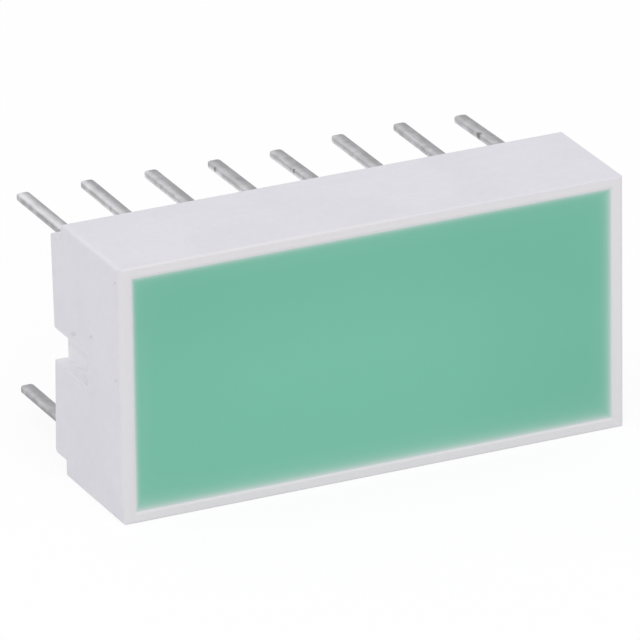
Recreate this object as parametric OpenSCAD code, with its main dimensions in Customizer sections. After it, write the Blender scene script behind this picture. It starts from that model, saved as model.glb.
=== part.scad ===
// Light bar backlight module for a panel: a white moulded housing with a green potted window,
// eight light emitting chips inside it and two rows of flat leads out of its back.
// X runs along the length, the window faces -Y, the leads point to +Y and Z is up.
// The part stands on its long side. The origin is the middle of the lead grid, in the plane
// of the stand-off feet, which is the face that meets the board.

/* [Housing] */
// Length of the moulded housing
body_l = 20.15; // [19.9:0.05:20.3]
// Height of the housing over its two long sides
body_h = 9.9; // [9.7:0.05:10.15]
// Depth from the window face to the ends of the stand-off feet
body_d = 6; // [5.9:0.05:6.2]
// Depth of the long walls, which stop short of the feet
side_d = 5.05; // [4.85:0.05:5.15]
// How far the housing's middle lies from the lead grid's middle
body_shift = 0.2; // [0:0.05:0.2]
// Thickness of the end walls beside the back pocket
end_wall = 0.7; // [0.6:0.05:0.7]
// Thickness of the long walls beside the back pocket
side_wall = 0.7; // [0.5:0.05:0.8]
// Radius of the upright edges of the window face
front_end_r = 0.2; // [0.1:0.05:0.3]
// Radius of the long edges of the window face
front_side_r = 0.08; // [0.05:0.01:0.2]
// Radius of the edges that run from front to back
corner_r = 0.12; // [0.1:0.01:0.4]

/* [Stand-off feet] */
// How far each foot stays clear of the nearest long side
foot_step = 0.65; // [0.4:0.05:0.9]
// How much further back a foot reaches at its outer corner than at the groove
foot_toe = 0.15; // [0.05:0.05:0.3]
// Radius of the corners of the feet, in the end view
foot_r = 0.16; // [0.05:0.01:0.2]
// Height of the groove in the middle of each end wall
groove_h = 1.27; // [0.8:0.01:1.8]
// How deep the groove is cut into the end wall
groove_cut = 0.52; // [0.3:0.02:0.54]
// Length of the groove, from the plane of the feet forwards
groove_l = 3; // [2:0.1:3.4]

/* [Window and reflector] */
// Width of the rim at the two ends of the window
rim_end = 0.49; // [0.45:0.01:0.6]
// Width of the rim along the two long sides of the window
rim_side = 0.42; // [0.36:0.01:0.55]
// How much of the rim's width is the small bevel along its inner edge
mouth_w = 0.08; // [0.04:0.02:0.12]
// How far the resin's face lies below the rim, which is also the depth of the bevel
resin_low = 0.03; // [0.02:0.01:0.1]
// Radius of the window's corners
window_r = 0.08; // [0.06:0.02:0.3]
// Depth of the drafted cavity that all the chips shine into
cavity_d = 1.8; // [1.2:0.1:2]
// Slope of the cavity's four walls, in degrees from straight
cavity_draft = 12; // [4:1:15]
// Depth of the tapered wells between the cavity and the lead frame
well_d = 1.6; // [1.2:0.1:1.8]
// Radius of a well at the cavity's floor
well_front_r = 1.4; // [1.2:0.05:1.4]
// Radius of a well at the lead frame
well_back_r = 1; // [0.95:0.05:1.2]
// How far the potting's back face lies inside the ends of the long walls
potting_sink = 0.2; // [0:0.05:0.5]

/* [Leads] */
// Distance from one lead to the next in a row
pitch = 2.54; // [2.5:0.01:2.54]
// Distance between the two rows of leads
row_gap = 7.62; // [7.5:0.01:7.7]
// Number of leads in a row, two for each chip
row_leads = 8; // [2:2:8]
// Width of a lead
lead_w = 0.51; // [0.4:0.01:0.51]
// Thickness of a lead
lead_t = 0.25; // [0.2:0.01:0.3]
// Free length of a lead behind the plane of the feet
lead_l = 4.9; // [3:0.05:6]
// Inside radius of the bend that turns a lead towards the board
bend_r = 0.2; // [0.1:0.05:0.3]
// Corner radius of a lead's cropped tip
tip_r = 0.14; // [0.05:0.01:0.18]

/* [Chips and bond wires] */
// Distance of each row of chips from the housing's middle
chip_row = 2.15; // [1.9:0.05:2.3]
// Side of a square chip
chip_w = 0.3; // [0.2:0.02:0.34]
// Thickness of a chip
chip_t = 0.25; // [0.15:0.01:0.3]
// Thickness of a bond wire
wire_d = 0.04; // [0.025:0.005:0.06]

/* [Hidden] */
LETTERS = ["a", "b", "c", "d", "e", "f", "g", "h"];
chips_in_row = row_leads / 2;
chip_count = 2 * chips_in_row;
$fn = 48;
wire_facets = 16;
tip_turn = 22.5;

// Depths, as places along Y
front_y = -body_d;
resin_y = front_y + resin_low;
side_back_y = front_y + side_d;
potting_back_y = side_back_y - potting_sink;
floor_y = front_y + cavity_d;
frame_y = floor_y + well_d;

// Where the bend of a lead ends and its straight shank begins
bend_y = frame_y + lead_t + bend_r;

// Window and back pocket
window_l = body_l - 2 * rim_end;
window_h = body_h - 2 * rim_side;
pocket_l = body_l - 2 * end_wall;
pocket_h = body_h - 2 * side_wall;
pocket_r = 0.25;

// The stamped ends of the leads, measured from the middle of the chip's own pair of leads
pad_over = 0.15;
pad_h = 1.1;
post_back = 0.35;
post_h = 0.6;
chip_off = 0.3;
wire_foot = 0.6;
ball_d = 0.1;
ball_h = 0.03;

// How far each lead of the upper row leans sideways at its tip, bent by handling just behind the resin
LEANS = [0.02, 0.07, 0.02, -0.03, -0.12, 0.04, 0.05, -0.13];
lean_start = 0.1;
lean_y = potting_back_y + lean_start;

// How much shorter than lead_l each of them was cropped
CROPS = [0.03, -0.02, 0.13, 0.28, 0.41, 0.06, 0.04, 0.35];

// How far cutting shapes run past the solid that they cut, and a smaller one for corners and wells
past = 1;
corner_past = 0.05;

housing_colour = [0.86, 0.85, 0.88];
potting_colour = [0.45, 0.72, 0.62];
lead_colour = [0.72, 0.72, 0.74];
chip_colour = [0.62, 0.66, 0.3];
gold_colour = [0.85, 0.66, 0.3];

// Chip k sits in the upper row for the first half of the letters and in the lower row after that
function row_side(k) = k < chips_in_row ? 1 : -1;
function place_in_row(k) = k % chips_in_row;
function chip_x(k) = (place_in_row(k) - (chips_in_row - 1) / 2) * 2 * pitch;

// Neighbouring chips are mirror images, so that their anodes stand side by side
function hand(k) = place_in_row(k) % 2 == 0 ? 1 : -1;

// Place of lead number n in its row, the length of its shank and the angle by which it leans
function lead_x(n) = (n - (row_leads - 1) / 2) * pitch;
function shank_length(n, side) = lead_l - lean_y - (side > 0 ? CROPS[n] : 0);
function lean_angle(n, side) = side > 0 ? atan(LEANS[n] / shank_length(n, side)) : 0;
function cathode_number(k) = 2 * place_in_row(k) + (hand(k) > 0 ? 0 : 1);
function anode_number(k) = 2 * place_in_row(k) + (hand(k) > 0 ? 1 : 0);

// Extrudes an outline drawn as X and Z from y0 to y1
module along_y(y0, y1) {
    translate([0, y1, 0])
        rotate([90, 0, 0])
            linear_extrude(y1 - y0)
                children();
}

// Extrudes an outline drawn as Y and Z over a length in X, about the middle
module along_x(length) {
    translate([-length / 2, 0, 0])
        rotate([90, 0, 90])
            linear_extrude(length)
                children();
}

// Extrudes an outline drawn as X and Y over a height in Z, about the middle
module along_z(height) {
    translate([0, 0, -height / 2])
        linear_extrude(height)
            children();
}

module centred_rect(w, h) {
    translate([-w / 2, -h / 2])
        square([w, h]);
}

module rounded_rect(w, h, r) {
    centred_rect(w, h - 2 * r);
    centred_rect(w - 2 * r, h);
    for (sx = [-1, 1], sy = [-1, 1])
        translate([sx * (w / 2 - r), sy * (h / 2 - r)])
            circle(r);
}

// What rounding takes off a corner at the origin, of a solid on the side of (sx, sy)
module corner_waste(r, sx, sy) {
    mirror([sx > 0 ? 0 : 1, 0])
        mirror([0, sy > 0 ? 0 : 1])
            difference() {
                translate([-corner_past, -corner_past])
                    square(r + corner_past);
                translate([r, r])
                    circle(r);
            }
}

// The housing seen from its end, as Y and Z: long walls, then the two feet that reach further back
module end_outline() {
    half_h = body_h / 2;
    foot_z = half_h - foot_step;
    difference() {
        polygon([
            [front_y, -half_h],
            [side_back_y, -half_h],
            [side_back_y, -foot_z],
            [0, -foot_z],
            [-foot_toe, -groove_h / 2],
            [-foot_toe, groove_h / 2],
            [0, foot_z],
            [side_back_y, foot_z],
            [side_back_y, half_h],
            [front_y, half_h]
        ]);
        for (sz = [-1, 1]) {
            translate([front_y, sz * half_h])
                corner_waste(front_side_r, 1, -sz);
            translate([side_back_y, sz * half_h])
                corner_waste(foot_r, -1, -sz);
            translate([0, sz * foot_z])
                corner_waste(foot_r, -1, -sz);
        }
    }
}

// The housing seen from above, as X and Y, with the front corners rounded
module top_outline() {
    difference() {
        translate([-body_l / 2, front_y])
            square([body_l, body_d]);
        for (sx = [-1, 1])
            translate([sx * body_l / 2, front_y])
                corner_waste(front_end_r, -sx, 1);
    }
}

module outer_block() {
    intersection() {
        along_y(front_y, 0)
            rounded_rect(body_l, body_h, corner_r);
        along_x(body_l)
            end_outline();
        along_z(body_h)
            top_outline();
    }
}

// Outline of the cavity across a width: the bevel of the rim, run on past the front, and then the
// drafted walls down to the cavity's floor
module drafted_outline(width) {
    mouth_half = width / 2 + mouth_w * (1 + corner_past / resin_low);
    floor_half = width / 2 - (floor_y - resin_y) * tan(cavity_draft);
    polygon([
        [-mouth_half, front_y - corner_past],
        [mouth_half, front_y - corner_past],
        [width / 2, resin_y],
        [floor_half, floor_y],
        [-floor_half, floor_y],
        [-width / 2, resin_y]
    ]);
}

// What the cavity's corners are rounded with, wider in front of the resin than behind its face
module rounded_mouth() {
    along_y(front_y - past, resin_y)
        rounded_rect(window_l + 2 * mouth_w, window_h + 2 * mouth_w, window_r + mouth_w);
    along_y(front_y - past, floor_y)
        rounded_rect(window_l, window_h, window_r);
}

module cavity_space() {
    intersection() {
        along_z(body_h)
            drafted_outline(window_l);
        along_x(body_l)
            mirror([1, -1])
                drafted_outline(window_h);
        rounded_mouth();
    }
}

// One tapered well, run on a little at both ends along its own taper
module well_space() {
    grow = corner_past * (well_front_r - well_back_r) / well_d;
    translate([0, floor_y - corner_past, 0])
        rotate([-90, 0, 0])
            cylinder(h = well_d + 2 * corner_past, r1 = well_front_r + grow, r2 = well_back_r - grow);
}

module pocket_space() {
    along_y(frame_y, past)
        rounded_rect(pocket_l, pocket_h, pocket_r);
}

// Everything inside the housing that the potting runs into, open at the front and at the back
module inner_space() {
    translate([body_shift, 0, 0]) {
        cavity_space();
        pocket_space();
    }
    for (k = [0:chip_count - 1])
        translate([chip_x(k), 0, row_side(k) * chip_row])
            well_space();
}

// The blind groove in the outside of each end wall, between its two feet
module end_grooves() {
    for (sx = [-1, 1])
        translate([sx * (body_l / 2 - groove_cut / 2 + past / 2), -groove_l / 2 + past / 2, 0])
            cube([groove_cut + past, groove_l + past, groove_h], center = true);
}

// The open space behind the long walls, between the feet of one end and those of the other
module space_between_feet() {
    translate([-pocket_l / 2, side_back_y, -body_h])
        cube([pocket_l, past - side_back_y, 2 * body_h]);
}

// Moulded white housing, which is also the reflector
module housing() {
    color(housing_colour)
        difference() {
            translate([body_shift, 0, 0])
                difference() {
                    outer_block();
                    end_grooves();
                    space_between_feet();
                }
            inner_space();
        }
}

// A place on the leaning stretch of a lead at x = 0: so far along it and so far across it
function on_shank(angle, along, across) = [
    along * sin(angle) + across * cos(angle),
    lean_y + along * cos(angle) - across * sin(angle)
];

// The rounded corner of a cropped tip, turned from the side of the lead at 0 to its end at 90 degrees
function tip_corner(angle, length, sx, turns) = [
    for (turn = turns)
        on_shank(angle, length - tip_r * (1 - sin(turn)), sx * (lead_w / 2 - tip_r * (1 - cos(turn))))
];

// The shank of a lead seen from above, with its lean and its cropped tip
module shank_plan(angle, length) {
    side = lead_w / 2;
    mitre = side * tan(angle / 2);
    polygon(concat(
        [[-side, bend_y], [-side, lean_y + mitre]],
        tip_corner(angle, length, -1, [0:tip_turn:90]),
        tip_corner(angle, length, 1, [90:-tip_turn:0]),
        [[side, lean_y - mitre], [side, bend_y]]
    ));
}

// A lead seen from the side, as Y and Z: up through the resin, round the bend and to the resin's back
module buried_profile(low_z) {
    top_z = (row_gap + lead_t) / 2;
    inner_y = frame_y + lead_t;
    inner_z = top_z - lead_t;
    difference() {
        translate([frame_y, low_z])
            square([potting_back_y - frame_y, top_z - low_z]);
        translate([frame_y, top_z])
            corner_waste(bend_r + lead_t, 1, -1);
        difference() {
            translate([inner_y, low_z - past])
                square([past + potting_back_y - inner_y, inner_z - low_z + past]);
            translate([inner_y, inner_z])
                corner_waste(bend_r, 1, -1);
        }
    }
}

// A lead of the upper row at x = 0, without its stamped end
module lead_strip(end_h, angle, length) {
    along_x(lead_w)
        buried_profile(chip_row - end_h / 2);
    translate([0, 0, row_gap / 2])
        along_z(lead_t)
            shank_plan(angle, length);
}

// The stamped end of a lead, from its strip towards the chip by the given reach
module stamped_end(reach, end_h) {
    along_y(frame_y, frame_y + lead_t)
        translate([-lead_w / 2, chip_row - end_h / 2])
            square([lead_w / 2 + reach, end_h]);
}

// Puts a lead of chip k in its place: number n of its row, its stamped end pointing the given way
module place_lead(k, n, towards) {
    mirror([0, 0, row_side(k) > 0 ? 0 : 1])
        translate([lead_x(n), 0, 0])
            mirror([towards > 0 ? 0 : 1, 0, 0])
                children();
}

// Lead with the pad that carries the chip
module cathode_lead(k) {
    n = cathode_number(k);
    towards = hand(k);
    color(lead_colour)
        place_lead(k, n, towards) {
            lead_strip(pad_h, towards * lean_angle(n, row_side(k)), shank_length(n, row_side(k)));
            stamped_end(pitch / 2 + pad_over, pad_h);
        }
}

// Lead with the post that takes the bond wire
module anode_lead(k) {
    n = anode_number(k);
    towards = -hand(k);
    color(lead_colour)
        place_lead(k, n, towards) {
            lead_strip(post_h, towards * lean_angle(n, row_side(k)), shank_length(n, row_side(k)));
            stamped_end(pitch / 2 - post_back, post_h);
        }
}

// Puts something modelled beside the middle of a chip's well into the well of chip k
module place_in_well(k) {
    translate([chip_x(k), frame_y, row_side(k) * chip_row])
        mirror([hand(k) > 0 ? 0 : 1, 0, 0])
            children();
}

module chip(k) {
    color(chip_colour)
        place_in_well(k)
            translate([-chip_off, -chip_t / 2, 0])
                cube([chip_w, chip_t, chip_w], center = true);
}

// Gold wire: a ball on the chip and a half loop over to the anode's post
module bond_wire(k) {
    $fn = wire_facets;
    span = chip_off + wire_foot;
    chord = norm([span, chip_t]);
    tilt = atan(chip_t / span);
    color(gold_colour)
        place_in_well(k)
            difference() {
                union() {
                    translate([(wire_foot - chip_off) / 2, -chip_t / 2, 0])
                        rotate([0, 0, 180])
                            rotate_extrude(angle = 180 + 2 * tilt)
                                translate([chord / 2, 0])
                                    circle(d = wire_d);
                    translate([-chip_off, -chip_t, 0])
                        rotate([90, 0, 0])
                            cylinder(d = ball_d, h = ball_h);
                }
                translate([-chip_off, -chip_t / 2, 0])
                    cube([chip_w, chip_t, chip_w], center = true);
                translate([wire_foot, past / 2, 0])
                    cube(past, center = true);
            }
}

// Green diffusing resin: it fills the housing round everything that is set in it
module potting() {
    color(potting_colour)
        difference() {
            intersection() {
                inner_space();
                translate([-body_l, resin_y, -body_h])
                    cube([2 * body_l, potting_back_y - resin_y, 2 * body_h]);
            }
            for (k = [0:chip_count - 1]) {
                cathode_lead(k);
                anode_lead(k);
                chip(k);
                bond_wire(k);
            }
        }
}

housing();
potting();
for (k = [0:chip_count - 1]) {
    cathode_lead(k);
    anode_lead(k);
    chip(k);
    bond_wire(k);
}
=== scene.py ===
import math

import bmesh
import bpy
from mathutils import Matrix, Vector


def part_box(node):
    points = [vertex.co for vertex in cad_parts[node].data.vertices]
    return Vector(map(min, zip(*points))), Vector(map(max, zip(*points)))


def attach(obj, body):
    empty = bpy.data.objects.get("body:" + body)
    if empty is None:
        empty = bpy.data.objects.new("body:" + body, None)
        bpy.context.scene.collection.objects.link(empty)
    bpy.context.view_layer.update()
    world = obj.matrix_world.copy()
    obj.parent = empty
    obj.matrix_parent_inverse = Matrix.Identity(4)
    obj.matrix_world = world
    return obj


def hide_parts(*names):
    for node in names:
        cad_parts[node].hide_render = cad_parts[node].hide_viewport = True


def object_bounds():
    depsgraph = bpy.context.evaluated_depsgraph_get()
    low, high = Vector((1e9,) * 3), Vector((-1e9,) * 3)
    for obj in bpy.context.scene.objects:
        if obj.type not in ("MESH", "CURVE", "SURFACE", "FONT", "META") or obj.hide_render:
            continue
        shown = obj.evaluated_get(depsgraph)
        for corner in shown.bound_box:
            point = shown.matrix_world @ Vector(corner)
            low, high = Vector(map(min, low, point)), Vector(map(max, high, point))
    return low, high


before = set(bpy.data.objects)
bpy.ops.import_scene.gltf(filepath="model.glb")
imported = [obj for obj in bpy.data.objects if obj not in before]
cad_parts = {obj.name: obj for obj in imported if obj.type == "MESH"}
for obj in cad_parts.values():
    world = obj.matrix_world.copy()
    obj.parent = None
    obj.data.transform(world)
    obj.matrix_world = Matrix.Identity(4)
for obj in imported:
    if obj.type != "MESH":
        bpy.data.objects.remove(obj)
CAD_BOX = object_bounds()

bl_info = {
    "name": "Backlight module finishes",
    "version": (1, 0, 0),
    "blender": (4, 5, 0),
    "location": "3D View > Sidebar > Backlight",
    "description": "Finishes, soft edges and a plain studio for the solids of a potted backlight module",
    "category": "Object",
}

MM = 0.001
WHITE = (1.0, 1.0, 1.0)
RESIN_NAME = "milky green resin"
STRIP_MAP = "strip"
LOW, HIGH = (Vector(corner) for corner in CAD_BOX)
POTTING_LOW, POTTING_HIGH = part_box("potting")
LEADS = sorted(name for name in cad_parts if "_lead_" in name)
CHIPS = sorted(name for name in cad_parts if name.startswith("chip_"))
WIRES = sorted(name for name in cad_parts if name.startswith("bond_wire_"))

# Planes of the housing in millimetres, which its finish goes by
MIDDLE = (LOW.x + HIGH.x) / 2 / MM
END = (HIGH.x - LOW.x) / 2 / MM
FRONT = LOW.y / MM
TOP = HIGH.z / MM

# Dark specks on the left end wall: x, y, z and radius in millimetres
SPECKS = (
    (-9.87, -3.43, 1.46, 0.1),
    (-9.87, -1.88, 1.0, 0.14),
    (-9.85, -5.7, 4.37, 0.075),
    (-9.87, -5.56, 0.55, 0.075),
)

# Dark spots on leads of the upper row, given in the same way
BLEMISHES = (
    (8.55, 2.5, 3.87, 0.22),
    (0.93, 2.38, 3.87, 0.13),
    (-1.55, 3.9, 3.85, 0.13),
)

# Points nearer than this are one, in metres
WELD = 1e-7
# An edge that turns less than FLAT is no edge and one that turns more than SHARP is rounded. An edge that
# still turns more than CREASE then divides the shading.
FLAT = math.radians(1.5)
CREASE = math.radians(35)
SHARP = math.radians(50)


def length(name, description, default):
    """A size property, given in millimetres here and kept in metres."""
    return bpy.props.FloatProperty(
        name=name, description=description, default=default * MM, unit="LENGTH", precision=5
    )


def share(name, description, default):
    """A property between nothing and all."""
    return bpy.props.FloatProperty(
        name=name, description=description, default=default, min=0.0, max=1.0, subtype="FACTOR"
    )


def angle(name, description, degrees):
    """An angle property, given in degrees here and kept in radians."""
    return bpy.props.FloatProperty(
        name=name, description=description, default=math.radians(degrees), subtype="ANGLE", unit="ROTATION"
    )


def camera_length(name, description, default):
    """A size inside the camera, which is kept in millimetres."""
    return bpy.props.FloatProperty(
        name=name, description=description, default=default, subtype="DISTANCE_CAMERA"
    )


def power(name, description, default):
    """The power of a lamp, in watts."""
    return bpy.props.FloatProperty(name=name, description=description, default=default, unit="POWER")


def direction(name, description, default):
    """A direction from the part, of any length."""
    return bpy.props.FloatVectorProperty(
        name=name, description=description, default=default, size=3, subtype="DIRECTION"
    )


def colour(name, description, default):
    """A colour property in scene linear values."""
    return bpy.props.FloatVectorProperty(
        name=name, description=description, default=default, size=3, min=0.0, max=1.0, subtype="COLOR"
    )


class BACKLIGHT_PG_sizes(bpy.types.PropertyGroup):
    """Sizes of the leads, the resin collars and the places where a finish changes"""

    lead_edge: length("Lead edge", "Rounding of a tinned lead's edges", 0.05)
    lead_width: length("Lead width", "Width of a lead over its flanks", 0.51)
    lead_thickness: length("Lead thickness", "Thickness of the strip that the leads are made of", 0.25)
    lead_pitch: length("Lead pitch", "Distance from one lead to the next in a row", 2.54)
    lean_start: length("Lean start", "How far behind the resin a lead starts to lean sideways", 0.1)
    tip_length: length("Tip length", "Last stretch of a lead, which tells where its tip stands", 0.3)
    collar_reach: length("Collar reach", "How far the resin that creeps up a lead spreads round it", 0.24)
    collar_height: length("Collar height", "How far the resin creeps up a lead", 0.2)
    groove_cut: length("Groove cut", "How deep the groove in each end wall is", 0.52)
    groove_height: length("Groove height", "Height of the groove in each end wall", 1.27)
    groove_length: length("Groove length", "Length of the groove, from the plane of the feet forwards", 3.0)
    glow_lit: length("Glow, lit side", "How far the lower and right-hand walls show through", 0.14)
    glow_shaded: length("Glow, shaded side", "How far the upper and left-hand walls show through", 0.086)
    glow_faint: length("Faint glow", "How far a faint light from the walls reaches into the resin", 0.56)
    grain: length("Grain", "Depth of the moulded grain of the housing", 0.004)
    ripple: length("Ripple", "Depth of the ripples in the resin's face", 0.003)
    tin_relief: length("Tin relief", "Depth of the streaks and bumps in the tin", 0.012)
    saw_marks: length("Saw marks", "Depth of the saw marks on the chips", 0.002)
    draw_marks: length("Draw marks", "Depth of the marks that drawing leaves on the bond wires", 0.001)


class BACKLIGHT_PG_colours(bpy.types.PropertyGroup):
    """Colours of the finishes"""

    plastic: colour("Plastic", "White moulding compound of the housing", (0.74, 0.731, 0.784))
    # Plastic shade serves both the grey clouds and a painted shade along the rim's upper edge
    plastic_clouds_and_shade: colour("Plastic shade", "Greyer clouds in the moulding compound", (0.70, 0.692, 0.743))
    # Sunk and pale plastic are painted light, which lifts the shade in the end grooves and paints highlights
    # along their edges and the end walls' upper edges
    plastic_painted_light: colour("Sunk plastic", "Paler skin on the floors of the end grooves", (0.87, 0.86, 0.895))
    plastic_painted_light_strong: colour("Pale plastic", "Palest skin, on the grooves' lower walls", (0.97, 0.96, 0.99))
    plastic_rim: colour("Rim plastic", "Warmer plastic of the rim round the window", (0.728, 0.71, 0.735))
    speck: colour("Speck", "Dark specks on the housing", (0.25, 0.24, 0.25))
    resin: colour("Resin", "Green diffusing resin", (0.163, 0.5, 0.366))
    resin_deep: colour("Deep resin", "Resin towards the top and the right-hand end", (0.142, 0.46, 0.335))
    resin_lit: colour("Lit resin", "Resin that the light from the white walls reaches", (0.7, 0.8, 0.76))
    # Pale resin is partly the white wall behind the resin and partly painted light, wider on the lit sides
    resin_pale_painted_glow: colour("Pale resin", "Resin with the white wall close behind it", (0.7, 0.7, 0.73))
    # Tin and dark tin are painted light and shade: a painted highlight along each lead's ridge and painted
    # shade over its right half
    tin: colour("Tin", "Bright ridge along a tinned lead", (0.75, 0.745, 0.768))
    tin_painted_shade: colour("Dark tin", "Dull grey right half of a lead", (0.321, 0.318, 0.335))
    blemish: colour("Blemish", "Dark grey spots on the leads", (0.17, 0.175, 0.155))
    crystal: colour("Crystal", "Semiconductor crystal of the chips", (0.36, 0.4, 0.14))
    gold: colour("Gold", "Bond wires", (0.83, 0.58, 0.2))
    floor: colour("Floor", "Floor, as the light on the part sees it", (0.8, 0.8, 0.8))


class BACKLIGHT_PG_studio(bpy.types.PropertyGroup):
    """Camera, lamps and floor"""

    azimuth: angle("Azimuth", "Turn of the camera round the part, from straight in front", -24.995)
    elevation: angle("Elevation", "Angle of the camera above the floor", 22.405)
    roll: angle("Roll", "Turn of the camera about its own axis", -0.826)
    lens: camera_length("Lens", "Focal length of the lens", 562.5)
    sensor: camera_length("Sensor", "Width of the sensor", 36.0)
    distance: length("Distance", "From the camera to the point that it looks at", 363.82)
    nearest: length("Nearest", "Nearest that the camera sees", 10.0)
    furthest: length("Furthest", "Furthest that the camera sees", 20000.0)
    aim: bpy.props.FloatVectorProperty(
        name="Aim", description="Point that the camera looks at", default=(-0.0004564, -0.002706, 0.0000766),
        size=3, subtype="TRANSLATION", unit="LENGTH", precision=6
    )
    floor_size: length("Floor", "Side of the square floor", 6000.0)
    floor_shadow: share("Floor shadow", "How much of the floor's own light and shade the camera sees", 0.12)
    ambient: share("Ambient", "Light that comes from all round", 0.7)
    top_lamp: power("Top lamp", "Power of the soft lamp above the part", 0.3)
    top_from: direction("Top from", "Where the lamp above the part hangs", (-0.25, -0.2, 1.0))
    side_lamp: power("Side lamp", "Power of the soft lamp on the left", 0.24)
    side_from: direction("Side from", "Where the lamp on the left hangs", (-0.95, 0.2, 0.12))
    front_lamp: power("Front lamp", "Power of the soft lamp in front", 0.345)
    front_from: direction("Front from", "Where the lamp in front hangs", (0.1, -1.0, 0.3))
    lamp_size: length("Lamp size", "Side of each square lamp", 300.0)
    lamp_distance: length("Lamp distance", "From each lamp to the part", 360.0)


class Value:
    """A socket in a finish. A sum on it adds the Math nodes that the sum needs."""

    def __init__(self, finish, socket):
        self.finish = finish
        self.socket = socket

    def worked_out(self, operation, *terms, clamp=False):
        settings = {"operation": operation, "use_clamp": clamp}
        return self.finish.add("ShaderNodeMath", settings, dict(enumerate(terms)))

    def __add__(self, other):
        return self.worked_out("ADD", self, other)

    def __radd__(self, other):
        return self.worked_out("ADD", other, self)

    def __sub__(self, other):
        return self.worked_out("SUBTRACT", self, other)

    def __rsub__(self, other):
        return self.worked_out("SUBTRACT", other, self)

    def __mul__(self, other):
        return self.worked_out("MULTIPLY", self, other)

    def __rmul__(self, other):
        return self.worked_out("MULTIPLY", other, self)

    def __truediv__(self, other):
        return self.worked_out("DIVIDE", self, other)

    def __pow__(self, other):
        return self.worked_out("POWER", self, other)

    def __rpow__(self, other):
        return self.worked_out("POWER", other, self)

    def __neg__(self):
        return self.worked_out("MULTIPLY", self, -1.0)

    def __abs__(self):
        return self.worked_out("ABSOLUTE", self)

    def clamped(self):
        return self.worked_out("ADD", self, 0.0, clamp=True)

    def at_least(self, other):
        return self.worked_out("MAXIMUM", self, other)

    def fade(self, start, end):
        """0 at start, 1 at end and a smooth change between them."""
        settings = {"interpolation_type": "SMOOTHSTEP", "clamp": True}
        return self.finish.add("ShaderNodeMapRange", settings, {0: self, 1: start, 2: end, 3: 0.0, 4: 1.0})

    def past(self, edge, start, end):
        """The same, with start and end given by how far past an edge they lie."""
        return self.fade(edge + start, edge + end)

    def dying_out(self, reach, power=1.0):
        """1 at nothing and ever less further away. A higher power keeps it high for longer."""
        return math.e ** (-((self.at_least(0.0) / reach) ** power))


class Finish:
    """The nodes of a material or of the world, built up one by one."""

    def __init__(self, owner):
        owner.use_nodes = True
        self.owner = owner
        self.tree = owner.node_tree
        self.tree.nodes.clear()

    def add(self, kind, settings=None, sockets=None, output=0):
        """Adds a node, sets it up, fills or links its sockets, and gives one of its outputs."""
        node = self.tree.nodes.new(kind)
        for name, value in (settings or {}).items():
            setattr(node, name, value)
        for key, value in (sockets or {}).items():
            if isinstance(value, Value):
                self.tree.links.new(value.socket, node.inputs[key])
            elif hasattr(value, "__len__") and len(value) == 3 and node.inputs[key].type == "RGBA":
                node.inputs[key].default_value = (*value, 1.0)
            else:
                node.inputs[key].default_value = value
        return Value(self, node.outputs[output]) if node.outputs else None

    def place(self):
        """The place on the part as a vector, in millimetres."""
        metres = self.add("ShaderNodeTexCoord", output="Object")
        return self.add("ShaderNodeVectorMath", {"operation": "SCALE"}, {0: metres, "Scale": 1.0 / MM})

    def numbers(self, vector):
        """The three numbers of a vector."""
        split = self.add("ShaderNodeSeparateXYZ", {}, {0: vector}).socket.node
        return tuple(Value(self, socket) for socket in split.outputs)

    def stretched(self, vector, factors):
        return self.add("ShaderNodeVectorMath", {"operation": "MULTIPLY"}, {0: vector, 1: factors})

    def noise(self, vector, scale, detail=2.0, roughness=0.5):
        sockets = {"Vector": vector, "Scale": scale, "Detail": detail, "Roughness": roughness}
        return self.add("ShaderNodeTexNoise", {}, sockets)

    def mixed(self, factor, one, other):
        """One colour where the factor is 0 and the other where it is 1."""
        settings = {"data_type": "RGBA", "blend_type": "MIX", "clamp_factor": True}
        return self.add("ShaderNodeMix", settings, {0: factor, 6: one, 7: other}, 2)

    def bump(self, height, distance, strength=0.5):
        sockets = {"Height": height, "Distance": distance, "Strength": strength}
        return self.add("ShaderNodeBump", {}, sockets)

    def spot(self, vector, centre, radius):
        """1 inside a small spot round a place in millimetres, fading out at its edge."""
        away = self.add("ShaderNodeVectorMath", {"operation": "DISTANCE"}, {0: vector, 1: centre}, "Value")
        core = 0.35 * radius
        return 1.0 - away.fade(core, radius)

    def close(self, **sockets):
        """Ends the material with a Principled shader. Underscores in the names stand for spaces."""
        named = {key.replace("_", " "): value for key, value in sockets.items()}
        shader = self.add("ShaderNodeBsdfPrincipled", {}, named)
        self.add("ShaderNodeOutputMaterial", {}, {"Surface": shader})
        return self.owner


def darkened(shade, kept):
    """A colour of which only a part is kept."""
    return tuple(kept * value for value in shade)


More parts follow.
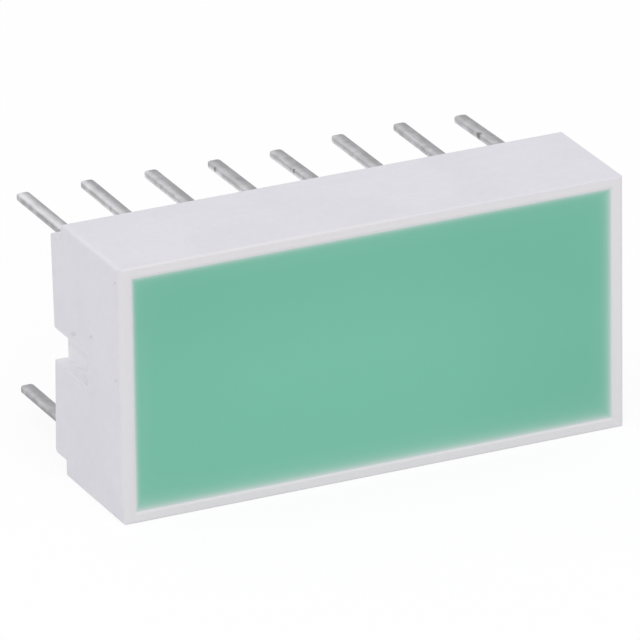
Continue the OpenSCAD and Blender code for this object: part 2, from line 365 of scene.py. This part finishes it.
def plastic_finish(colours, sizes):
    """White plastic with clouds and fine grain, warmer on the rim, with painted light in the end grooves,
    painted highlights along their edges and the end walls' upper edges, and painted shade on the right of
    the rim's upper edge.
    """
    finish = Finish(bpy.data.materials.new("satin white moulding"))
    vector = finish.place()
    x, y, z = finish.numbers(vector)
    across, above = abs(x - MIDDLE), abs(z)
    groove_floor = END - sizes.groove_cut / MM
    groove_side = sizes.groove_height / 2 / MM
    groove_front = -sizes.groove_length / MM

    clouds = finish.noise(vector, 0.35, 3.0)
    mottle = finish.noise(vector, 3.2, 3.0, 0.6)
    grain = finish.noise(vector, 11.0, 3.0, 0.6)
    handled = finish.noise(finish.stretched(vector, (0.6, 1.2, 0.6)), 1.1, 4.0, 0.65)
    shade = 0.55 * clouds.fade(0.35, 0.65) + 0.45 * mottle.fade(0.3, 0.7)
    base = finish.mixed(shade.clamped(), colours.plastic, colours.plastic_clouds_and_shade)

    # Painted light that lifts the shade in the grooves, most of all in their lower halves, and most on their
    # lower walls
    below_skin = across.past(groove_floor, -0.055, -0.005) * (1.0 - across.past(END, -0.055, -0.015))
    painted_groove_light = below_skin * (1.0 - above.past(groove_side, 0.01, 0.045)) * y.past(groove_front, -0.04, 0.4)
    lower_half = 0.8 - 0.7 * z.fade(-0.5, 0.5)
    base = finish.mixed(painted_groove_light * lower_half, base, colours.plastic_painted_light)
    inwards = 1.0 - across.fade(groove_floor - 0.055, END + 0.075)
    lower_wall = inwards * (1.0 - z.past(-groove_side, 0.003, 0.035))
    base = finish.mixed(0.65 * painted_groove_light * lower_wall, base, colours.plastic_painted_light_strong)

    # Painted highlights along the edges of the grooves and the upper edges of the end walls
    painted_edge_highlight = 0.12 * across.past(END, -0.175, -0.115) * z.past(TOP, -0.06, -0.01)
    beside_groove = above.past(groove_side, -0.035, 0.015) * (1.0 - above.past(groove_side, 0.035, 0.095))
    painted_lip_highlight = 0.32 * across.past(END, -0.065, -0.025) * beside_groove * y.past(groove_front, -0.1, 0.0)
    base = finish.mixed(painted_edge_highlight + painted_lip_highlight, base, colours.plastic_painted_light)

    # Warmer on the rim, and painted shade that dims the highlight along the right-hand half of its upper
    # edge
    base = finish.mixed(1.0 - y.past(FRONT, 0.01, 0.15), base, colours.plastic_rim)
    painted_edge_shade = z.past(TOP, -0.12, -0.07) * (1.0 - y.past(FRONT, 0.07, 0.13)) * x.fade(-1.0, 4.0)
    base = finish.mixed(0.85 * painted_edge_shade, base, colours.plastic_clouds_and_shade)

    # The specks are longer than high and slant up towards the front, so they lie on a slanting grid
    shortened, slant = 0.45, 0.37
    slanting = finish.add("ShaderNodeCombineXYZ", {}, {0: x, 1: shortened * y, 2: z + slant * y})
    for along, back, up, radius in SPECKS:
        speck = finish.spot(slanting, (along, shortened * back, up + slant * back), radius)
        base = finish.mixed(0.22 * speck, base, colours.speck)

    roughness = 0.4 + 0.16 * handled
    normal = finish.bump(0.6 * grain + 0.4 * mottle, sizes.grain)
    return finish.close(Base_Color=base, Roughness=roughness, Normal=normal, IOR=1.46)


def resin_finish(colours, sizes):
    """Milky green resin, through which the white walls shine along the edges of the window, painted into its
    colour.
    """
    finish = Finish(bpy.data.materials.new(RESIN_NAME))
    vector = finish.place()
    x, y, z = finish.numbers(vector)
    from_left, from_right = x - POTTING_LOW.x / MM, POTTING_HIGH.x / MM - x
    from_below, from_above = z - POTTING_LOW.z / MM, POTTING_HIGH.z / MM - z
    in_front = 1.0 - y.past(FRONT, 0.2, 1.0)

    # Deeper green towards the top and the right-hand end, and a little towards the bottom and the left
    clouds = finish.noise(vector, 0.22, 2.0)
    mottle = finish.noise(vector, 5.0, 3.0, 0.6)
    by_height = 0.75 * z.fade(-0.5, 4.4) + 0.1 * (1.0 - z.fade(-3.4, -0.5))
    by_side = 0.85 * x.fade(1.0, 10.0) + 0.3 * (1.0 - x.fade(-9.5, -3.0))
    by_chance = 0.3 * (clouds - 0.5) + 0.2 * (mottle - 0.5)
    depth = by_height + by_side + by_chance
    base = finish.mixed(depth.clamped(), colours.resin, colours.resin_deep)

    # Painted light: a faint light from the walls reaches far into the resin
    faint = sizes.glow_faint / MM
    painted_faint_glow = 0.13 * from_below.dying_out(faint) + 0.04 * from_right.dying_out(faint)
    painted_faint_glow = painted_faint_glow + 0.06 * from_left.dying_out(faint) + 0.05 * from_above.dying_out(faint)
    base = finish.mixed(in_front * painted_faint_glow, base, colours.resin_lit)

    # Close to a wall the resin is nearly white, where the white wall shows through it, and painted light
    # makes the band wider on the lit lower and right-hand sides
    lit, shaded = sizes.glow_lit / MM, sizes.glow_shaded / MM
    painted_wall_glow = from_right.dying_out(0.95 * lit).at_least(from_below.dying_out(lit))
    painted_wall_glow = painted_wall_glow.at_least(from_left.dying_out(shaded, 1.4))
    painted_wall_glow = painted_wall_glow.at_least(0.9 * from_above.dying_out(0.84 * shaded))
    base = finish.mixed(0.94 * in_front * painted_wall_glow, base, colours.resin_pale_painted_glow)

    roughness = 0.36 + 0.1 * finish.noise(vector, 1.6, 3.0)
    normal = finish.bump(finish.noise(vector, 2.4, 3.0, 0.55), sizes.ripple)
    return finish.close(Base_Color=base, Roughness=roughness, Normal=normal, IOR=1.5)


def tin_finish(colours, sizes):
    """Dull mottled tin with pits and dark spots, and a painted highlight along its ridge, painted light on
    its left flank and painted shade on its right half. It changes along the rows, whose leads stand at x
    from -8.89 to 8.89 millimetres."""
    finish = Finish(bpy.data.materials.new("dull bright tin"))
    strip = finish.add("ShaderNodeUVMap", {"uv_map": STRIP_MAP})
    around = finish.numbers(strip)[1]
    vector = finish.place()
    x, y, z = finish.numbers(vector)
    streaks = finish.noise(finish.stretched(vector, (9.0, 0.9, 9.0)), 1.3, 4.0, 0.6)
    blotches = finish.noise(vector, 2.1, 3.0, 0.55)
    wander = finish.noise(finish.stretched(vector, (0.8, 1.0, 0.8)), 0.9, 2.0)
    upper_row = z.fade(-1.0, 1.0)
    # All of the first lead of the upper row, which lies turned a little, and about a quarter of the second
    first = upper_row * (1.0 - x.fade(-8.9, -5.0))

    # A painted highlight along the ridge, which wanders a little, shines most at the left of the upper row
    # and is wider on the first lead. The lower row gets less of it as painted shade, and the left tips get a
    # painted glint
    crest = around + 0.05 * (wander - 0.5) - 0.05 * first
    right_slope = ((crest - 0.06) / (0.28 + 0.08 * first)).fade(0.0, 1.0)
    ridge = crest.fade(-0.14, 0.045) * (1.0 - right_slope)
    painted_tip_glint = (1.0 - x.fade(-6.3, -3.9)) * y.fade(3.0, 4.2)
    height = 0.43 + 0.4 * (1.0 - x.fade(-9.8, -1.5)) - 0.08 * x.fade(6.5, 8.9) + 0.1 * painted_tip_glint
    height = height * (0.36 + 0.64 * upper_row)

    # Painted light on the left flank, less of it on the first lead and in the lower row, and less towards
    # the right
    flank = 1.0 - 0.7 * first - 0.48 * x.fade(2.0, 6.3) + 0.2 * x.fade(6.4, 8.8)
    flank = 0.9 * flank * (1.0 - around.fade(-0.22, -0.03)) * (1.15 * upper_row - 0.15)

    # Blotches show most on the flank, and painted shade makes the right-hand edge a little darker
    blotched = 0.8 + 0.7 * (1.0 - around.fade(-0.12, 0.0))
    patchy = blotched * (blotches - 0.5) + 0.6 * (streaks - 0.5)
    painted_right_shade = 0.05 * (1.0 - first) * around.fade(0.3, 0.4)
    shine = 0.08 + height * ridge + flank + patchy - painted_right_shade
    # Painted shade: dark tin wherever the painted light and the blotches leave the shine low
    base = finish.mixed(shine.clamped(), colours.tin_painted_shade, colours.tin)

    # Dark spots where they are, and small pits anywhere
    for *centre, radius in BLEMISHES:
        base = finish.mixed(0.85 * finish.spot(vector, centre, radius), base, colours.blemish)
    pits = finish.noise(vector, 4.5, 2.0).fade(0.68, 0.76)
    base = finish.mixed(0.25 * pits, base, colours.blemish)

    roughness = 0.3 + 0.22 * blotches + 0.1 * streaks
    normal = finish.bump(0.7 * streaks + 0.3 * blotches, sizes.tin_relief, 0.6)
    return finish.close(Base_Color=base, Metallic=1.0, Roughness=roughness, Normal=normal)


def crystal_finish(colours, sizes):
    """Cloudy crystal with saw marks across it."""
    finish = Finish(bpy.data.materials.new("polished crystal"))
    vector = finish.place()
    cloud = finish.noise(vector, 8.0, 2.0)
    saw_marks = finish.noise(finish.stretched(vector, (4.0, 60.0, 4.0)), 1.0, 2.0)
    base = finish.mixed(cloud, colours.crystal, darkened(colours.crystal, 0.7))
    normal = finish.bump(saw_marks, sizes.saw_marks)
    return finish.close(Base_Color=base, Roughness=0.15 + 0.15 * cloud, Normal=normal)


def gold_finish(colours, sizes):
    """Gold wire with the fine marks of drawing."""
    finish = Finish(bpy.data.materials.new("drawn gold wire"))
    draw_marks = finish.noise(finish.place(), 30.0, 2.0)
    base = finish.mixed(draw_marks, colours.gold, darkened(colours.gold, 0.85))
    normal = finish.bump(draw_marks, sizes.draw_marks)
    return finish.close(Base_Color=base, Metallic=1.0, Roughness=0.18 + 0.12 * draw_marks, Normal=normal)


def repaint(node_name, material):
    """Gives a solid another finish in all its material slots."""
    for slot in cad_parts[node_name].material_slots:
        slot.material = material


def placed(name, build, material):
    """Turns a bmesh into an object of the scene, with its material."""
    mesh = bpy.data.meshes.new(name)
    build.to_mesh(mesh)
    build.free()
    mesh.materials.clear()
    mesh.materials.append(material)
    made = bpy.data.objects.new(name, mesh)
    bpy.context.scene.collection.objects.link(made)
    return made


def finished_piece(name, build, material):
    """Turns a bmesh into a piece that rides on the part."""
    piece = placed(name, build, material)
    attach(piece, "root")
    return piece


class BACKLIGHT_OT_housing(bpy.types.Operator):
    """Give the moulded housing its satin white finish"""

    bl_idname = "backlight.housing"
    bl_label = "Housing"

    def execute(self, context):
        scene = context.scene
        repaint("housing", plastic_finish(scene.backlight_colours, scene.backlight_sizes))
        return {"FINISHED"}


class BACKLIGHT_OT_resin(bpy.types.Operator):
    """Give the potting its milky green finish"""

    bl_idname = "backlight.resin"
    bl_label = "Resin"

    def execute(self, context):
        scene = context.scene
        repaint("potting", resin_finish(scene.backlight_colours, scene.backlight_sizes))
        return {"FINISHED"}


def row_place(x, pitch):
    """The middle of the place in the row that lies nearest to x."""
    return pitch * (round(x / pitch - 0.5) + 0.5)


def lay_strip_map(build, sizes):
    """Maps a lead as a straight strip: how far along it, and how far round it from its upper left edge, in
    millimetres, which is negative on its left flank."""
    lean_y = POTTING_HIGH.y + sizes.lean_start
    tip_y = max(vert.co.y for vert in build.verts)
    tip = [vert.co.x for vert in build.verts if vert.co.y > tip_y - sizes.tip_length]
    tip_x = (min(tip) + max(tip)) / 2
    middle = row_place(tip_x, sizes.lead_pitch)
    lean = math.atan2(tip_x - middle, tip_y - lean_y)
    top = max(vert.co.z for vert in build.verts if vert.co.y > lean_y)
    layer = build.loops.layers.uv.new(STRIP_MAP)
    for face in build.faces:
        for loop in face.loops:
            across = loop.vert.co.x - middle
            along = loop.vert.co.y - lean_y
            if along > 0:
                along, across = (
                    along * math.cos(lean) + across * math.sin(lean),
                    across * math.cos(lean) - along * math.sin(lean),
                )
            drop = top - loop.vert.co.z
            around = across + sizes.lead_width / 2 + (drop if across > 0 else -drop)
            loop[layer].uv = (along / MM, around / MM)


class BACKLIGHT_OT_leads(bpy.types.Operator):
    """Make each lead again with rounded edges and a tinned finish"""

    bl_idname = "backlight.leads"
    bl_label = "Tinned leads"

    def execute(self, context):
        sizes = context.scene.backlight_sizes
        tin = tin_finish(context.scene.backlight_colours, sizes)
        for name in LEADS:
            build = self.rounded(name, sizes.lead_edge)
            lay_strip_map(build, sizes)
            for face in build.faces:
                face.smooth = True
            piece = finished_piece("tinned_" + name, build, tin)
            piece.data.set_sharp_from_angle(angle=CREASE)
            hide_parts(name)
        return {"FINISHED"}

    def rounded(self, name, radius):
        """A copy of a plain lead with its sharp edges rounded."""
        build = bmesh.new()
        build.from_mesh(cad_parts[name].data)
        bmesh.ops.remove_doubles(build, verts=build.verts, dist=WELD)
        bmesh.ops.dissolve_limit(build, angle_limit=FLAT, verts=build.verts, edges=build.edges)
        sharp = [edge for edge in build.edges if edge.calc_face_angle(0.0) > SHARP]
        if not sharp:
            raise RuntimeError(f"{name} has no sharp edges to round")
        bmesh.ops.bevel(
            build, geom=sharp, offset=radius, offset_type="OFFSET", segments=4, profile=0.5, affect="EDGES",
            clamp_overlap=True, material=-1
        )
        bmesh.ops.recalc_face_normals(build, faces=build.faces)
        return build


class BACKLIGHT_OT_collars(bpy.types.Operator):
    """Make the collars of resin that creep up the leads at the back"""

    bl_idname = "backlight.collars"
    bl_label = "Resin collars"

    def execute(self, context):
        sizes = context.scene.backlight_sizes
        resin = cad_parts["potting"].material_slots[0].material
        if not resin.name.startswith(RESIN_NAME):
            raise RuntimeError("the collars take the finish of the resin, so that has to come first")
        backwards = Matrix.Rotation(math.radians(-90), 3, "X")
        for name in LEADS:
            low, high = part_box(name)
            middle = row_place((low.x + high.x) / 2, sizes.lead_pitch)
            height = high.z - sizes.lead_thickness / 2 if high.z > 0 else low.z + sizes.lead_thickness / 2
            build = self.shape(sizes)
            bmesh.ops.rotate(build, verts=build.verts, matrix=backwards)
            bmesh.ops.translate(build, verts=build.verts, vec=(middle, POTTING_HIGH.y, height))
            finished_piece("collar_" + name, build, resin)
        return {"FINISHED"}

    def shape(self, sizes):
        """A low mound with hollow flanks, its foot on the resin and its top inside the lead."""
        reach, height = sizes.collar_reach, sizes.collar_height
        foot_edge = 0.02 * height
        steps = 6
        pulled_in = 1.12 * reach / steps
        build = bmesh.new()
        bmesh.ops.create_grid(build, x_segments=1, y_segments=1, size=0.5)
        width, thickness = (side + 2 * reach for side in (sizes.lead_width, sizes.lead_thickness))
        bmesh.ops.scale(build, verts=build.verts, vec=(width, thickness, 1.0))
        bmesh.ops.bevel(
            build, geom=build.verts[:], offset=reach, offset_type="OFFSET", segments=6, profile=0.5,
            affect="VERTICES", material=-1
        )
        raised = bmesh.ops.extrude_face_region(build, geom=build.faces[:])["geom"]
        top = [part for part in raised if isinstance(part, bmesh.types.BMFace)]
        bmesh.ops.translate(build, verts=top[0].verts, vec=(0.0, 0.0, foot_edge))
        bmesh.ops.recalc_face_normals(build, faces=build.faces)
        for step in range(steps):
            rise = ((step + 1) ** 3 - step ** 3) / steps ** 3
            bmesh.ops.inset_region(build, faces=top, thickness=pulled_in, depth=rise * height)
        for face in build.faces:
            face.smooth = face is not top[0]
        return build


class BACKLIGHT_OT_chips(bpy.types.Operator):
    """Give the chips and the bond wires inside the resin their finishes"""

    bl_idname = "backlight.chips"
    bl_label = "Chips and wires"

    def execute(self, context):
        scene = context.scene
        crystal = crystal_finish(scene.backlight_colours, scene.backlight_sizes)
        gold = gold_finish(scene.backlight_colours, scene.backlight_sizes)
        for name in CHIPS:
            repaint(name, crystal)
        for name in WIRES:
            repaint(name, gold)
        return {"FINISHED"}


def seen_as_white(finish, plain, white):
    """White to the camera and in mirrors and glass, and the plain surface to all other light."""
    kinds = ("Is Camera Ray", "Is Glossy Ray", "Is Transmission Ray")
    camera, glossy, through = (finish.add("ShaderNodeLightPath", output=kind) for kind in kinds)
    seen = (camera + glossy + through).clamped()
    return finish.add("ShaderNodeMixShader", {}, {0: seen, 1: plain, 2: white})


class BACKLIGHT_OT_studio(bpy.types.Operator):
    """Set up the floor, the soft light and the camera"""

    bl_idname = "backlight.studio"
    bl_label = "Studio"

    def execute(self, context):
        scene = context.scene
        studio = scene.backlight_studio
        self.lay_floor(studio, scene.backlight_colours.floor)
        self.light_world(scene, studio)
        for side in ("top", "side", "front"):
            self.hang_lamp(scene, studio, side)
        self.set_camera(scene, studio)
        scene.view_settings.view_transform = "Standard"
        return {"FINISHED"}

    def lay_floor(self, studio, grey):
        build = bmesh.new()
        bmesh.ops.create_grid(build, x_segments=1, y_segments=1, size=studio.floor_size / 2)
        bmesh.ops.translate(build, verts=build.verts, vec=(0.0, 0.0, LOW.z))
        finish = Finish(bpy.data.materials.new("pale floor"))
        plain = finish.add("ShaderNodeBsdfDiffuse", {}, {"Color": grey})
        bright = finish.add("ShaderNodeEmission", {}, {"Color": WHITE, "Strength": 1.0})
        shown = finish.add("ShaderNodeBsdfDiffuse", {}, {"Color": WHITE})
        white = finish.add("ShaderNodeMixShader", {}, {0: studio.floor_shadow, 1: bright, 2: shown})
        finish.add("ShaderNodeOutputMaterial", {}, {"Surface": seen_as_white(finish, plain, white)})
        floor = placed("floor", build, finish.owner)

    def light_world(self, scene, studio):
        scene.world = bpy.data.worlds.new("soft studio")
        finish = Finish(scene.world)
        plain = finish.add("ShaderNodeBackground", {}, {"Color": WHITE, "Strength": studio.ambient})
        white = finish.add("ShaderNodeBackground", {}, {"Color": WHITE, "Strength": 1.0})
        finish.add("ShaderNodeOutputWorld", {}, {"Surface": seen_as_white(finish, plain, white)})

    def hang_lamp(self, scene, studio, side):
        """A large square lamp on one side of the part, facing it."""
        lamp = bpy.data.lights.new(side + " lamp", "AREA")
        lamp.shape = "SQUARE"
        lamp.size = studio.lamp_size
        lamp.energy = getattr(studio, side + "_lamp")
        towards = Vector(getattr(studio, side + "_from")).normalized()
        hung = bpy.data.objects.new(side + " lamp", lamp)
        hung.location = towards * studio.lamp_distance
        hung.rotation_euler = towards.to_track_quat("Z", "Y").to_euler()
        scene.collection.objects.link(hung)

    def set_camera(self, scene, studio):
        turn, rise, roll = studio.azimuth, studio.elevation, studio.roll
        level = Vector((math.sin(turn), -math.cos(turn), 0.0))
        back = math.cos(rise) * level + math.sin(rise) * Vector((0.0, 0.0, 1.0))
        right = Vector((math.cos(turn), math.sin(turn), 0.0))
        up = back.cross(right)
        axes = Matrix((
            math.cos(roll) * right + math.sin(roll) * up,
            math.cos(roll) * up - math.sin(roll) * right,
            back,
        )).transposed()
        lens = bpy.data.cameras.new("camera")
        lens.sensor_width = studio.sensor
        lens.lens = studio.lens
        lens.clip_start = studio.nearest
        lens.clip_end = studio.furthest
        camera = bpy.data.objects.new("camera", lens)
        stand = Vector(studio.aim) + studio.distance * back
        camera.matrix_world = Matrix.Translation(stand) @ axes.to_4x4()
        scene.collection.objects.link(camera)
        scene.camera = camera


class BACKLIGHT_PT_panel(bpy.types.Panel):
    """Steps and settings of the backlight module"""

    bl_idname = "BACKLIGHT_PT_panel"
    bl_label = "Backlight module"
    bl_space_type = "VIEW_3D"
    bl_region_type = "UI"
    bl_category = "Backlight"

    def draw(self, context):
        for step in STEPS:
            self.layout.operator(step.bl_idname)
        for group_name in GROUPS:
            group = getattr(context.scene, group_name)
            box = self.layout.box()
            for name in group.__annotations__:
                box.prop(group, name)


GROUPS = {
    "backlight_sizes": BACKLIGHT_PG_sizes,
    "backlight_colours": BACKLIGHT_PG_colours,
    "backlight_studio": BACKLIGHT_PG_studio,
}
STEPS = (
    BACKLIGHT_OT_studio, BACKLIGHT_OT_housing, BACKLIGHT_OT_resin, BACKLIGHT_OT_leads, BACKLIGHT_OT_collars,
    BACKLIGHT_OT_chips,
)
CLASSES = (*GROUPS.values(), *STEPS, BACKLIGHT_PT_panel)


def register():
    for each in CLASSES:
        bpy.utils.register_class(each)
    for name, group in GROUPS.items():
        setattr(bpy.types.Scene, name, bpy.props.PointerProperty(type=group))


def unregister():
    for name in GROUPS:
        delattr(bpy.types.Scene, name)
    for each in reversed(CLASSES):
        bpy.utils.unregister_class(each)


def main():
    register()
    bpy.ops.backlight.studio()
    bpy.ops.backlight.housing()
    bpy.ops.backlight.resin()
    bpy.ops.backlight.leads()
    bpy.ops.backlight.collars()
    bpy.ops.backlight.chips()
    bpy.context.view_layer.update()


if __name__ == "__main__":
    main()
